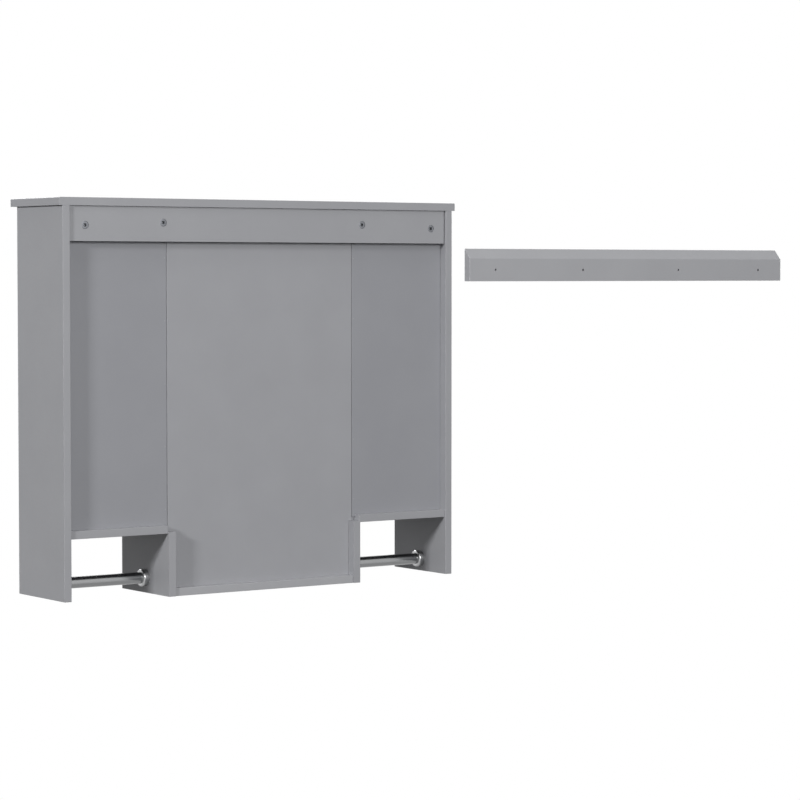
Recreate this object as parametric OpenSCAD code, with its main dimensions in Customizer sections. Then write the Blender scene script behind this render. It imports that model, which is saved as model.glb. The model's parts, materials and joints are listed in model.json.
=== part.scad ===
// Wall-hung medicine cabinet: mirror door in the middle, an open bay each side
// over a towel bar, and a bevelled hanging rail with its separate wall rail.
// Front faces -Y, the wall is the plane y = 0, and z = 0 is the hanging rail's lower edge.

/* [Cabinet body] */
// Width across the two side panels
body_w = 880; // [800:10:1000]
// Height of the side panels
side_h = 730; // [650:10:800]
// Depth of the side panels, front edge to wall
body_d = 180; // [170:5:220]
// Thickness of the cabinet boards
board_t = 15; // [15:1:18]
// Clear width between the two dividers
centre_w = 405; // [350:5:450]
// How far the centre compartment hangs below the side panels
centre_drop = 4; // [0:1:20]
// Height of the bay floors above the side panels' lower edges
bay_floor_h = 115; // [90:5:150]
// Setback of the bay floors' rear edges from the wall plane
bay_floor_back = 4; // [0:1:10]
// Setback of the centre floor's rear edge from the wall plane
centre_floor_back = 3; // [0:1:10]

/* [Top panel] */
// Thickness of the top panel
top_t = 15; // [15:1:22]
// How far the top overhangs each side
top_side_over = 7; // [4:1:25]
// How far the top overhangs the front
top_front_over = 12; // [8:1:30]
// Radius of the top panel's eased upper edges
top_round = 2; // [1:0.5:4]

/* [Rear recess] */
// Thickness of the back panels
back_t = 3; // [3:0.5:4]
// Open seam between two back panels, over a divider's edge
back_seam = 1.6; // [1:0.2:3]
// Play between a back panel and the bottom of its groove
back_play = 0.5; // [0.3:0.1:1]
// Depth of the grooves that hold the back panels
groove_d = 5; // [4:0.5:6]
// Extra width of the grooves over the back panels
groove_play = 0.4; // [0.2:0.1:0.6]
// How far the dividers' rear notch reaches below the bay floors' tops
notch_drop = 12; // [6:1:14]

/* [Hanging rails] */
// Setback of the hanging rail's rear face from the wall plane
rail_back = 4; // [3:1:14]
// Thickness of both rails
rail_t = 18; // [16:1:22]
// Height of both rails over the bevel
rail_h = 66; // [64:1:80]
// Climb of the 45 degree style bevel across a rail
bevel_rise = 20; // [14:1:22]
// Gap between the hanging rail and each side panel
rail_gap = 1.5; // [0.3:0.1:2]
// Gap between the wall rail and each side panel once it is hooked
wall_rail_gap = 5; // [3:1:15]
// Distance from the cabinet's side to the wall rail that stands apart
wall_rail_aside = 30; // [20:5:100]
// Distance from the wall plane to the wall rail's room face where it stands apart
wall_rail_clear = 2; // [1:1:20]
// How far the wall rail's ridge stands below the hanging rail's lower edge
wall_rail_low = 9; // [0:1:30]
// Distance from the wall rail's middle to its outer screw holes
rail_hole_outer = 355; // [250:5:390]
// Distance from the wall rail's middle to its inner screw holes
rail_hole_inner = 129; // [80:1:200]
// Radius of the wall rail's screw holes
rail_hole_r = 2.5; // [2:0.1:3.5]
// Radius of the countersinks on the wall rail's room face
rail_sink_r = 5; // [4:0.5:6]

/* [Cam joints] */
// Radius of a cam lock
cam_r = 7.5; // [6:0.5:7.5]
// How far a cam lock's bore reaches past its bolt's axis
cam_below = 4.5; // [3.5:0.1:5.5]
// Distance from a board's edge to a cam lock's centre
cam_set = 34; // [30:1:36]
// Radius of the tunnel for a cam bolt
tunnel_r = 4; // [4:0.1:4.5]
// Radius of a cam bolt's thread
bolt_thread_r = 2.5; // [2:0.1:3]
// Length of a cam bolt's thread
bolt_thread_l = 10.5; // [8:0.5:11]
// Radius of a cam bolt's head
bolt_head_r = 3.1; // [2.6:0.1:3.2]
// Radius of a cam bolt's neck
bolt_neck_r = 2; // [1.5:0.1:2.3]
// Depth below the top of the hanging rail's outer cam locks, whose bolts come from the sides
rail_cam_low = 36; // [30:1:36]
// Depth below the top of the hanging rail's inner cam locks, whose bolts come from the top
rail_cam_deep = 30; // [28:1:36]
// Distance from a divider's middle plane to the hanging rail's inner cam locks
rail_cam_mid = 15; // [12:1:40]
// Distance from a board's front edge to the nearest joint
joint_front = 35; // [25:1:45]
// Distance from the dividers' rear edges to the nearest joint
joint_back = 30; // [25:1:40]
// Radius of a wood dowel
dowel_r = 4; // [3:0.5:4]
// Length of a dowel in the board whose edge it enters
dowel_in = 20; // [15:1:25]
// Length of a dowel in the board whose face it enters
dowel_out = 9; // [7:0.5:10]
// Radial play round cam locks, bolts, dowels and pins
fit_play = 0.1; // [0.05:0.05:0.2]
// Play behind the end of a bolt, dowel, pin or screw
end_play = 0.5; // [0.2:0.1:1]

/* [Shelves] */
// Thickness of the shelves
shelf_t = 15; // [12:1:18]
// Gap between a shelf and what is beside or behind it
shelf_gap = 0.8; // [0.5:0.1:0.9]
// Setback of the bay shelves from the front edge
bay_shelf_set = 6; // [2:1:30]
// Gap between the centre shelves and the door
centre_shelf_set = 5; // [4:1:20]
// Radius of a shelf pin
pin_r = 2.5; // [2:0.5:3]
// Length of a shelf pin inside its board
pin_in = 6.5; // [5:0.5:6.5]
// Length of a shelf pin that carries the shelf
pin_out = 8; // [6:1:12]
// Distance from a shelf's front and rear edges to its pins
pin_set = 28; // [15:1:40]
// Distance between two pin holes in a row
pin_pitch = 32; // [25:1:40]

/* [Towel bars] */
// Radius of a towel bar
bar_r = 11; // [8:0.5:12.5]
// Wall of a towel bar's tube
bar_wall = 1; // [0.8:0.1:2]
// Height of a towel bar's axis over the side panels' lower edges
bar_h = 25; // [20:1:50]
// Distance from the wall plane to a towel bar's axis
bar_y = 90; // [50:5:120]
// Radius of a flange
flange_r = 16.5; // [15:0.5:19]
// Length of a flange
flange_l = 12; // [10:0.5:20]
// Thickness of a flange's base
flange_base = 3; // [2.5:0.5:5]
// Radius of a flange's rounded rim
flange_round = 3; // [1:0.5:3.5]

/* [Screws] */
// Radius of a countersunk wood screw's head
screw_head_r = 3.4; // [3:0.1:3.5]
// Height of a countersunk wood screw's head
screw_head_h = 2; // [1.5:0.1:2.2]
// Radius of a wood screw's shank
screw_r = 1.7; // [1.4:0.1:2]
// Length of a flange screw inside its board
screw_in = 10; // [8:0.5:12]
// Radius of a grub screw
grub_r = 2; // [1.5:0.5:2.5]
// How far a grub screw's end lies below the flange's rim
grub_sink = 1; // [0.3:0.1:2]
// Radius of a small hinge or catch screw's shank
small_screw_r = 1.2; // [1:0.1:1.4]
// Radius of a small screw's head
small_head_r = 2.4; // [2:0.1:2.6]
// Length of a small screw inside its board
small_screw_in = 9; // [7:0.5:10]
// Radius of a panel pin's shank
nail_r = 0.6; // [0.5:0.1:0.8]
// Radius of a panel pin's head
nail_head_r = 1.3; // [1.1:0.1:1.5]
// Thickness of a panel pin's head
nail_head_t = 0.4; // [0.3:0.1:0.6]
// Length of a panel pin inside the divider's edge
nail_in = 12; // [8:1:16]
// Panel pins along one edge of a back panel
nail_count = 5; // [3:1:8]
// Distance from the bay floor and from the hanging rail to the nearest panel pin
nail_end = 30; // [15:1:60]

/* [Door] */
// Thickness of the door board
door_t = 15; // [15:1:18]
// Gap between the door and what is round it
door_gap = 2; // [1.8:0.1:3]
// Width of the door's border round the mirror
mirror_border = 36; // [34:1:60]
// Thickness of the mirror glass
mirror_t = 3; // [3:0.5:5]
// Play round the mirror in its pocket
mirror_play = 0.5; // [0.3:0.1:0.9]
// Width of the bevel ground round the mirror's edge
mirror_bevel = 10; // [4:1:20]
// Depth of the bevel ground round the mirror's edge
mirror_bevel_d = 1.2; // [0.5:0.1:2]
// Slope of the pocket's lip round the mirror
lip_w = 2; // [1:0.5:5]
// How far the mirror lies below the door's face
lip_d = 1; // [0.5:0.1:1.5]

/* [Hinges and catch] */
// Height of a hinge
hinge_h = 50; // [40:1:76]
// Distance from the door's ends to its hinges
hinge_end = 90; // [60:5:150]
// Radius of a hinge's barrel
barrel_r = 3; // [2.6:0.1:3.4]
// Radius of a hinge pin
hinge_pin_r = 1.4; // [1.2:0.1:1.6]
// Radial running play of a hinge pin
hinge_play = 0.05; // [0.02:0.01:0.08]
// Thickness of a hinge leaf
leaf_t = 1.2; // [1:0.1:1.4]
// Width of a hinge leaf behind the door's face
leaf_w = 12; // [10:0.5:13]
// Distance from a leaf's ends to its outer screws
leaf_screw_end = 7; // [5:0.5:10]
// Gap between the two closed leaves, and between knuckles
leaf_gap = 0.2; // [0.1:0.05:0.3]
// Gap between the barrel and the cabinet's front
barrel_gap = 0.2; // [0.1:0.1:0.5]
// Radius of the knob
knob_r = 13; // [10:1:16]
// Length of the knob
knob_l = 25; // [20:1:32]
// Distance from the door's free edge to the knob
knob_set = 18; // [15:1:25]
// Radius of the knob's machine screw
knob_screw_r = 2; // [1.5:0.5:2.5]
// Length of the knob's screw inside the knob
knob_screw_in = 12; // [8:1:15]
// Height of the knob's screw's head
knob_screw_head = 2.2; // [1.5:0.1:3]
// Width of the magnetic catch over its two ears
catch_w = 46; // [40:1:60]
// Width of the magnetic catch's block
catch_block_w = 20; // [19:1:26]
// Depth of the magnetic catch
catch_d = 15; // [14:1:20]
// Height of the magnetic catch
catch_h = 13; // [12:1:16]
// Depth of the catch's ears
catch_ear_d = 9; // [8:1:12]
// Thickness of the catch's ears and floor
catch_ear_t = 2.5; // [2:0.5:3]
// Width of the magnet
magnet_w = 16; // [12:1:17]
// Depth of the magnet
magnet_d = 11; // [8:1:12]
// Height of the magnet
magnet_h = 6; // [4:1:7]
// Distance from the door's free edge to the catch's middle
catch_set = 60; // [45:5:120]
// Width of the strike plate
strike_w = 36; // [32:1:44]
// Height of the strike plate
strike_h = 6.5; // [6:0.5:6.5]
// Thickness of the strike plate
strike_t = 1; // [0.8:0.1:1.5]
// Gap between the magnet and the closed strike plate
catch_gap = 0.3; // [0.2:0.1:0.5]

/* [Hidden] */
$fn = 48;
paint = "#8f9092";
steel = "#c9cacc";
// Overshoot of a cut past the face that it opens
eps = 1;

half_w = body_w / 2;
inner_x = half_w - board_t;
div_in = centre_w / 2;
div_mid = div_in + board_t / 2;
div_out = div_in + board_t;
bay_w = inner_x - div_out;
bay_mid = (inner_x + div_out) / 2;
side_mid = half_w - board_t / 2;
hook_z = side_h - rail_h;
edge_y = -(rail_back + rail_t);
bay_top = bay_floor_h + board_t;
notch_z = bay_top - notch_drop;
centre_top = board_t - centre_drop;
joints_y = [-(body_d - joint_front), edge_y - joint_back];
dowel_y = (joints_y[0] + joints_y[1]) / 2;
rail_mid_y = -(rail_back + rail_t / 2);
rail_cam_x = div_mid + rail_cam_mid;
rail_dowel_x = bay_mid;
// The back panels' upper edges hide behind the hanging rail's bevel
back_top = hook_z + bevel_rise * (rail_t - back_t) / rail_t - back_play;
wall_rail_l = 2 * (inner_x - wall_rail_gap);
wall_rail_x = -(half_w + wall_rail_aside + wall_rail_l / 2);
rail_hole_z = (rail_h - bevel_rise) / 2;

nails_span = hook_z - bay_top - 2 * nail_end;
nails_z = [for (k = [0:nail_count - 1]) bay_top + nail_end + k * nails_span / (nail_count - 1)];

bay_levels = [for (k = [1:2]) bay_top + k * (side_h - bay_top) / 3 - shelf_t / 2];
centre_levels = [for (k = [1:3]) centre_top + k * (side_h - centre_top) / 4 - shelf_t / 2];
bay_shelf_y = [-(body_d - bay_shelf_set), edge_y - shelf_gap];
centre_shelf_y = [-(body_d - door_t - centre_shelf_set), edge_y - shelf_gap];

door_w = centre_w - 2 * door_gap;
door_low = centre_top + door_gap;
door_high = side_h - door_gap;
door_mid_z = (door_low + door_high) / 2;
pocket_w = door_w - 2 * mirror_border;
pocket_h = door_high - door_low - 2 * mirror_border;
door_back = -(body_d - door_t);
hinge_x = div_in - door_gap / 2;
hinge_y = -(body_d + barrel_r + barrel_gap);
hinges_z = [door_low + hinge_end, door_high - hinge_end];
knuckle_h = hinge_h / 3;
leaf_screws_z = [for (k = [-1:1]) k * (hinge_h / 2 - leaf_screw_end)];
leaf_screw_y = -(body_d - leaf_w / 2);
knob_x = door_w / 2 - knob_set;
catch_x = door_w / 2 - catch_set;
catch_front = door_back + strike_t + catch_gap;
catch_screw_x = (catch_w + catch_block_w) / 4;
catch_screw_y = catch_front + catch_d - catch_ear_d / 2;
strike_z = centre_top + catch_ear_t + magnet_h / 2;

// Moves the heights measured from the side panels' lower edges to the hook edge
module placed() translate([0, 0, -hook_z]) children();

// Draws a piece of the +X side, or its mirror image on the -X side
module sided(side) mirror([side < 0 ? 1 : 0, 0, 0]) children();

// A board between two corners
module board(low, high) translate(low) cube(high - low);

// The four places where side panels and dividers meet the top, cam faces towards -X
module at_top_joints(x) for (y = joints_y) translate([x, y, side_h]) rotate([0, 0, 90]) children();

// The two joints in a floor board's end at x; the board lies on the other side of it
module at_floor_end(x, z, outward)
    for (y = joints_y) translate([x, y, z]) mirror([outward ? 0 : 1, 0, 0])
        rotate([0, 90, 0]) rotate([0, 0, -90]) children();

// The hanging rail's joints with the top
module at_rail_joints() for (s = [-1, 1]) translate([s * rail_cam_x, rail_mid_y, side_h]) children();

// The hanging rail's joint with the +X side panel
module at_rail_end() translate([inner_x, rail_mid_y, side_h - rail_cam_low]) rotate([0, 90, 0]) children();

module at_rail_ends() for (s = [-1, 1]) sided(s) at_rail_end() children();

// Cam lock's bore and bolt's tunnel, in a board of thickness t with its edge at z = 0
module cam_bore(t, deep = cam_set) {
    translate([0, -cam_below, -deep]) rotate([-90, 0, 0])
        cylinder(r = cam_r, h = cam_below + t / 2 + eps);
    translate([0, 0, -deep]) cylinder(r = tunnel_r, h = deep + eps);
}

module bolt_hole() translate([0, 0, -eps])
    cylinder(r = bolt_thread_r + fit_play, h = bolt_thread_l + end_play + eps);

module cam_lock(t, deep = cam_set) {
    slot_w = 1.2;
    slot_d = 2.5;
    face_y = t / 2 - end_play;
    difference() {
        translate([0, -cam_below, -deep]) rotate([-90, 0, 0])
            cylinder(r = cam_r - fit_play, h = cam_below + face_y);
        translate([0, 0, -deep - bolt_head_r]) cylinder(r = bolt_head_r + 2 * fit_play, h = deep);
        for (a = [45, 135]) translate([0, face_y, -deep]) rotate([0, a, 0])
            cube([cam_r, 2 * slot_d, slot_w], center = true);
    }
}

module cam_bolt(deep = cam_set) {
    head_l = 2.6;
    neck_top = cam_r + 1;
    translate([0, 0, -deep - head_l / 2]) cylinder(r = bolt_head_r, h = head_l);
    translate([0, 0, -deep]) cylinder(r = bolt_neck_r, h = neck_top);
    translate([0, 0, -deep + neck_top])
        cylinder(r = tunnel_r - 2 * fit_play, h = deep - neck_top - fit_play);
    translate([0, 0, -2 * fit_play]) cylinder(r = bolt_thread_r, h = bolt_thread_l + 2 * fit_play);
}

module dowel() {
    translate([0, 0, -dowel_in]) cylinder(r = dowel_r, h = dowel_in + dowel_out);
}

module dowel_bore(h_in, h_out) {
    translate([0, 0, -h_in]) cylinder(r = dowel_r + fit_play, h = h_in + h_out);
}

module dowel_edge_bore() dowel_bore(dowel_in + end_play, eps);

module dowel_face_bore() dowel_bore(eps, dowel_out + end_play);

module at_top_dowel(x) translate([x, dowel_y, side_h]) children();

module at_floor_dowel(x, z, outward)
    translate([x, dowel_y, z]) rotate([0, outward ? 90 : -90, 0]) children();

module at_rail_dowels() for (s = [-1, 1]) translate([s * rail_dowel_x, rail_mid_y, side_h]) children();

// Countersunk wood screw: head's face at z = 0, shank along -z, length l below the head
module wood_screw(head_r, head_h, shank_r, l) {
    translate([0, 0, -head_h]) cylinder(r1 = shank_r, r2 = head_r, h = head_h);
    translate([0, 0, -head_h - l]) cylinder(r = shank_r, h = l + head_h / 2);
    translate([0, 0, -head_h - l - shank_r]) cylinder(r1 = shank_r / 4, r2 = shank_r, h = shank_r);
}

// The hole for such a screw through a plate of thickness t whose face is at z = 0
module screw_hole(head_r, head_h, shank_r, t) {
    translate([0, 0, -head_h]) cylinder(r1 = shank_r + fit_play, r2 = head_r + fit_play, h = head_h);
    translate([0, 0, -fit_play]) cylinder(r = head_r + fit_play, h = eps);
    translate([0, 0, -t - eps]) cylinder(r = shank_r + fit_play, h = t + eps - head_h / 2);
}

// Pilot hole in a board face at z = 0
module pilot(r, depth) translate([0, 0, -depth - end_play - r])
    cylinder(r = r + fit_play, h = depth + end_play + r + eps);

// Shelf pin places in a board's face: rows of holes round each shelf level
function pin_rows(levels) = [for (z = levels, k = [-1:1]) z - pin_r + k * pin_pitch];

function pin_ys(shelf_y) = [shelf_y[0] + pin_set, shelf_y[1] - pin_set];

// Places on the +X or -X face at x, the axis towards +X where out is true
module at_pins(x, zs, ys, out) for (z = zs, y = ys)
    translate([x, y, z]) rotate([0, out ? 90 : -90, 0]) children();

module pin_hole() translate([0, 0, -eps]) cylinder(r = pin_r + fit_play, h = pin_in + end_play + eps);

module shelf_pin() {
    tip = 0.6;
    translate([0, 0, -pin_out + tip]) cylinder(r = pin_r, h = pin_in + pin_out - tip);
    translate([0, 0, -pin_out]) cylinder(r1 = pin_r - tip, r2 = pin_r, h = tip);
}

module at_bar_end(outer) translate([outer ? inner_x : div_out, -bar_y, bar_h])
    rotate([0, outer ? -90 : 90, 0]) children();

// Panel pins along the rear edge of the +X divider, halfway from the seam to its corner
module at_nails(side) for (z = nails_z)
    translate([div_mid + side * (board_t + back_seam) / 4, edge_y, z]) children();

module at_bay_nails() at_nails(1) children();

module at_centre_nails() at_nails(-1) children();

module nail_hole() rotate([90, 0, 0]) translate([0, 0, -back_t - eps])
    cylinder(r = nail_r + fit_play, h = nail_in + end_play + back_t + eps);

module back_groove(low, high) {
    play = groove_play / 2;
    translate([low[0], edge_y - play, low[1]])
        cube([high[0] - low[0], back_t + groove_play, high[1] - low[1]]);
}

module at_frame_leaf_screws() for (h = hinges_z, dz = leaf_screws_z)
    translate([hinge_x + leaf_gap / 2, leaf_screw_y, h + dz]) rotate([0, -90, 0]) children();

module at_door_leaf_screws() for (h = hinges_z, dz = leaf_screws_z)
    translate([hinge_x - leaf_gap / 2, leaf_screw_y, h + dz]) rotate([0, 90, 0]) children();

// The mortises of both leaves of both hinges, a little larger than the leaves
module leaf_mortises() for (h = hinges_z)
    translate([hinge_x - leaf_t - leaf_gap, -body_d - eps, h - hinge_h / 2 - leaf_gap])
        cube([2 * (leaf_t + leaf_gap), leaf_w + eps + leaf_gap, hinge_h + 2 * leaf_gap]);

module at_catch_screws() for (s = [-1, 1])
    translate([catch_x + s * catch_screw_x, catch_screw_y, centre_top]) children();

module at_strike_screws() for (s = [-1, 1])
    translate([catch_x + s * (magnet_w + strike_w) / 4, door_back + strike_t, strike_z])
        rotate([-90, 0, 0]) children();

// Board on edge for the +X half, with everything that meets it
module side_panel() color(paint) placed() difference() {
    board([inner_x, -body_d, 0], [half_w, 0, side_h]);
    at_top_joints(side_mid) cam_bore(board_t);
    at_top_dowel(side_mid) dowel_edge_bore();
    at_rail_end() bolt_hole();
    at_floor_end(inner_x, bay_floor_h + board_t / 2, true) bolt_hole();
    at_floor_dowel(inner_x, bay_floor_h + board_t / 2, true) dowel_face_bore();
    at_pins(inner_x, pin_rows(bay_levels), pin_ys(bay_shelf_y), true) pin_hole();
    back_groove([inner_x - eps, bay_top - groove_d - eps], [inner_x + groove_d, side_h - rail_h / 2]);
    at_bar_end(true) pilot(screw_r, screw_in);
}

module divider(hinged) color(paint) placed() difference() {
    union() {
        board([div_in, -body_d, -centre_drop], [div_out, edge_y, side_h]);
        board([div_in, edge_y - eps, -centre_drop], [div_out, 0, notch_z]);
    }
    at_top_joints(div_mid) cam_bore(board_t);
    at_top_dowel(div_mid) dowel_edge_bore();
    at_floor_end(div_out, bay_floor_h + board_t / 2, false) bolt_hole();
    at_floor_dowel(div_out, bay_floor_h + board_t / 2, false) dowel_face_bore();
    at_floor_end(div_in, centre_top - board_t / 2, true) bolt_hole();
    at_floor_dowel(div_in, centre_top - board_t / 2, true) dowel_face_bore();
    at_pins(div_out, pin_rows(bay_levels), pin_ys(bay_shelf_y), false) pin_hole();
    at_pins(div_in, pin_rows(centre_levels), pin_ys(centre_shelf_y), true) pin_hole();
    back_groove([div_in - eps, -centre_drop - eps], [div_mid - back_seam / 2 + back_play, notch_z + eps]);
    at_bar_end(false) pilot(screw_r, screw_in);
    at_bay_nails() nail_hole();
    at_centre_nails() nail_hole();
    if (hinged) {
        leaf_mortises();
        at_frame_leaf_screws() pilot(small_screw_r, leaf_t + small_screw_in);
    }
}

module top_panel() color(paint) placed() difference() {
    board([-half_w - top_side_over, -body_d - top_front_over, side_h],
          [half_w + top_side_over, 0, side_h + top_t]);
    for (s = [-1, 1]) sided(s) {
        at_top_joints(side_mid) bolt_hole();
        at_top_joints(div_mid) bolt_hole();
        at_top_dowel(side_mid) dowel_face_bore();
        at_top_dowel(div_mid) dowel_face_bore();
        translate([half_w + top_side_over, 0, side_h + top_t]) rotate([90, 0, 0])
            ease_cut(body_d + top_front_over);
    }
    translate([0, -body_d - top_front_over, side_h + top_t]) rotate([0, 0, -90]) rotate([90, 0, 0])
        translate([0, 0, -half_w - top_side_over]) ease_cut(body_w + 2 * top_side_over);
    at_rail_joints() bolt_hole();
    at_rail_dowels() dowel_face_bore();
}

// Rounds an upper edge that runs along +z from the origin, with the board at -x and -y
module ease_cut(l) translate([-top_round, -top_round, -eps]) difference() {
    cube([top_round + eps, top_round + eps, l + 2 * eps]);
    cylinder(r = top_round, h = l + 2 * eps);
}

module bay_floor() color(paint) placed() difference() {
    board([div_out, -body_d, bay_floor_h], [inner_x, -bay_floor_back, bay_top]);
    at_floor_end(inner_x, bay_floor_h + board_t / 2, true) cam_bore(board_t);
    at_floor_end(div_out, bay_floor_h + board_t / 2, false) cam_bore(board_t);
    at_floor_dowel(inner_x, bay_floor_h + board_t / 2, true) dowel_edge_bore();
    at_floor_dowel(div_out, bay_floor_h + board_t / 2, false) dowel_edge_bore();
    back_groove([div_out - eps, bay_top - groove_d], [inner_x + eps, bay_top + eps]);
}

module centre_floor() color(paint) placed() difference() {
    board([-div_in, -body_d, -centre_drop], [div_in, -centre_floor_back, centre_top]);
    for (s = [-1, 1]) sided(s) {
        at_floor_end(div_in, centre_top - board_t / 2, true) cam_bore(board_t);
        at_floor_dowel(div_in, centre_top - board_t / 2, true) dowel_edge_bore();
    }
    back_groove([-div_in - eps, centre_top - groove_d], [div_in + eps, centre_top + eps]);
    at_catch_screws() pilot(small_screw_r, small_screw_in);
}

module bay_back() color(paint) placed() difference() {
    board([div_mid + back_seam / 2, edge_y, bay_top - groove_d + back_play],
          [inner_x + groove_d - back_play, edge_y + back_t, back_top]);
    at_bay_nails() nail_hole();
}

module centre_back() color(paint) placed() difference() {
    board([-div_mid + back_seam / 2, edge_y, centre_top - groove_d + back_play],
          [div_mid - back_seam / 2, edge_y + back_t, back_top]);
    for (s = [-1, 1]) sided(s) at_centre_nails() nail_hole();
}

// A bevelled rail's section, wall side towards +x; the hanging rail is the wall rail turned over
module rail_section(x_wall) polygon([
    [x_wall - rail_t, 0], [x_wall, 0], [x_wall, rail_h - bevel_rise], [x_wall - rail_t, rail_h]
]);

module along_x(l) rotate([90, 0, 90]) linear_extrude(height = l, center = true) children();

module hanging_rail() color(paint) placed() difference() {
    along_x(2 * (inner_x - rail_gap)) translate([0, hook_z]) mirror([0, 1]) translate([0, -rail_h])
        mirror([1, 0]) rail_section(rail_back + rail_t);
    at_rail_joints() cam_bore(rail_t, rail_cam_deep);
    at_rail_ends() cam_bore(rail_t);
    at_rail_dowels() dowel_edge_bore();
}

module wall_rail() color(paint) placed()
    translate([wall_rail_x, wall_rail_clear + rail_t, hook_z - wall_rail_low - rail_h]) difference() {
        along_x(wall_rail_l) rail_section(0);
        for (x = [-rail_hole_outer, -rail_hole_inner, rail_hole_inner, rail_hole_outer])
            translate([x, -rail_t, rail_hole_z]) rotate([-90, 0, 0]) {
                translate([0, 0, -eps]) cylinder(r = rail_hole_r, h = rail_t + 2 * eps);
                cylinder(r1 = rail_sink_r, r2 = rail_hole_r, h = rail_sink_r - rail_hole_r);
            }
    }

module rail_cam_locks() color(steel) placed() {
    at_rail_joints() cam_lock(rail_t, rail_cam_deep);
    at_rail_ends() cam_lock(rail_t);
}

module rail_cam_bolts() color(steel) placed() {
    at_rail_joints() cam_bolt(rail_cam_deep);
    at_rail_ends() cam_bolt();
}

module top_cam_locks() color(steel) placed() for (s = [-1, 1]) sided(s) {
    at_top_joints(side_mid) cam_lock(board_t);
    at_top_joints(div_mid) cam_lock(board_t);
}

module top_cam_bolts() color(steel) placed() for (s = [-1, 1]) sided(s) {
    at_top_joints(side_mid) cam_bolt();
    at_top_joints(div_mid) cam_bolt();
}

// Every end of the three floor boards, on both sides
module at_floor_joints() for (s = [-1, 1]) sided(s) {
    at_floor_end(inner_x, bay_floor_h + board_t / 2, true) children();
    at_floor_end(div_out, bay_floor_h + board_t / 2, false) children();
    at_floor_end(div_in, centre_top - board_t / 2, true) children();
}

module floor_cam_locks() color(steel) placed() at_floor_joints() cam_lock(board_t);

module floor_cam_bolts() color(steel) placed() at_floor_joints() cam_bolt();

module wood_dowels() color("#c9a878") placed() {
    for (s = [-1, 1]) sided(s) {
        at_top_dowel(side_mid) dowel();
        at_top_dowel(div_mid) dowel();
        at_floor_dowel(inner_x, bay_floor_h + board_t / 2, true) dowel();
        at_floor_dowel(div_out, bay_floor_h + board_t / 2, false) dowel();
        at_floor_dowel(div_in, centre_top - board_t / 2, true) dowel();
    }
    at_rail_dowels() dowel();
}

// Panel pin: head on the back panel's outer face
module nail() rotate([90, 0, 0]) {
    translate([0, 0, -back_t - nail_head_t]) cylinder(r = nail_head_r, h = nail_head_t);
    translate([0, 0, -back_t - nail_head_t / 2])
        cylinder(r = nail_r, h = nail_in + back_t + nail_head_t / 2);
}

module panel_pins() color(paint) placed() for (s = [-1, 1]) sided(s) {
    at_bay_nails() nail();
    at_centre_nails() nail();
}

module bay_shelf(level) color(paint) placed() board(
    [div_out + shelf_gap, bay_shelf_y[0], bay_levels[level]],
    [inner_x - shelf_gap, bay_shelf_y[1], bay_levels[level] + shelf_t]);

module centre_shelf(level) color(paint) placed() board(
    [-div_in + shelf_gap, centre_shelf_y[0], centre_levels[level]],
    [div_in - shelf_gap, centre_shelf_y[1], centre_levels[level] + shelf_t]);

function below(levels) = [for (z = levels) z - pin_r];

module bay_shelf_pins() color(steel) placed() for (s = [-1, 1]) sided(s) {
    at_pins(inner_x, below(bay_levels), pin_ys(bay_shelf_y), true) shelf_pin();
    at_pins(div_out, below(bay_levels), pin_ys(bay_shelf_y), false) shelf_pin();
}

module centre_shelf_pins() color(steel) placed() for (s = [-1, 1]) sided(s)
    at_pins(div_in, below(centre_levels), pin_ys(centre_shelf_y), true) shelf_pin();

// The tube ends just over the flange screws' heads
module towel_bar() color(steel) placed()
    translate([bay_mid, -bar_y, bar_h]) rotate([0, 90, 0]) difference() {
        bar_l = bay_w - 2 * (flange_base + end_play);
        cylinder(r = bar_r, h = bar_l, center = true);
        cylinder(r = bar_r - bar_wall, h = bar_l + eps, center = true);
    }

module bar_flange(outer) color(steel) placed() at_bar_end(outer) difference() {
    rotate_extrude() flange_profile();
    translate([0, 0, flange_base]) cylinder(r = bar_r + fit_play, h = flange_l);
    translate([0, 0, flange_base]) screw_hole(screw_head_r, screw_head_h, screw_r, flange_base);
    at_grub(outer) cylinder(r = grub_r + fit_play, h = flange_r);
}

// The grub screw's axis, which points down from the bar
module at_grub(outer) translate([0, 0, (flange_base + flange_l - flange_round + grub_r) / 2])
    rotate([0, outer ? -90 : 90, 0]) children();

module flange_profile() {
    steps = 8;
    polygon(concat(
        [[0, 0], [flange_r, 0]],
        [for (k = [0:steps]) let (a = 90 * k / steps)
            [flange_r - flange_round * (1 - cos(a)), flange_l - flange_round * (1 - sin(a))]],
        [[0, flange_l]]));
}

module flange_screws() color(steel) placed() for (s = [-1, 1], outer = [true, false]) sided(s)
    at_bar_end(outer) translate([0, 0, flange_base])
        wood_screw(screw_head_r, screw_head_h, screw_r, screw_in + flange_base - screw_head_h);

// They press on the bar from below, where they are out of sight
module flange_grub_screws() color(steel) placed() for (s = [-1, 1], outer = [true, false]) sided(s)
    at_bar_end(outer) at_grub(outer) translate([0, 0, bar_r + fit_play]) difference() {
        cylinder(r = grub_r, h = flange_r - bar_r - grub_sink);
        translate([0, 0, grub_r]) cylinder(r = grub_r / 2, h = flange_r, $fn = 6);
    }

// Hinge of the -X divider, drawn on +X: two outer knuckles on the frame, one on the door
module knuckle(z, h) translate([hinge_x, hinge_y, z]) cylinder(r = barrel_r, h = h);

module pin_bore(z) translate([hinge_x, hinge_y, z - hinge_h])
    cylinder(r = hinge_pin_r + hinge_play, h = 2 * hinge_h);

module leaf_plate(x, z)
    board([x, -body_d + leaf_gap, z - hinge_h / 2], [x + leaf_t, -body_d + leaf_w, z + hinge_h / 2]);

module leaf_tab(x, z, h) board([x, hinge_y, z], [x + leaf_t, -body_d + 2 * leaf_gap, z + h]);

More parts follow.
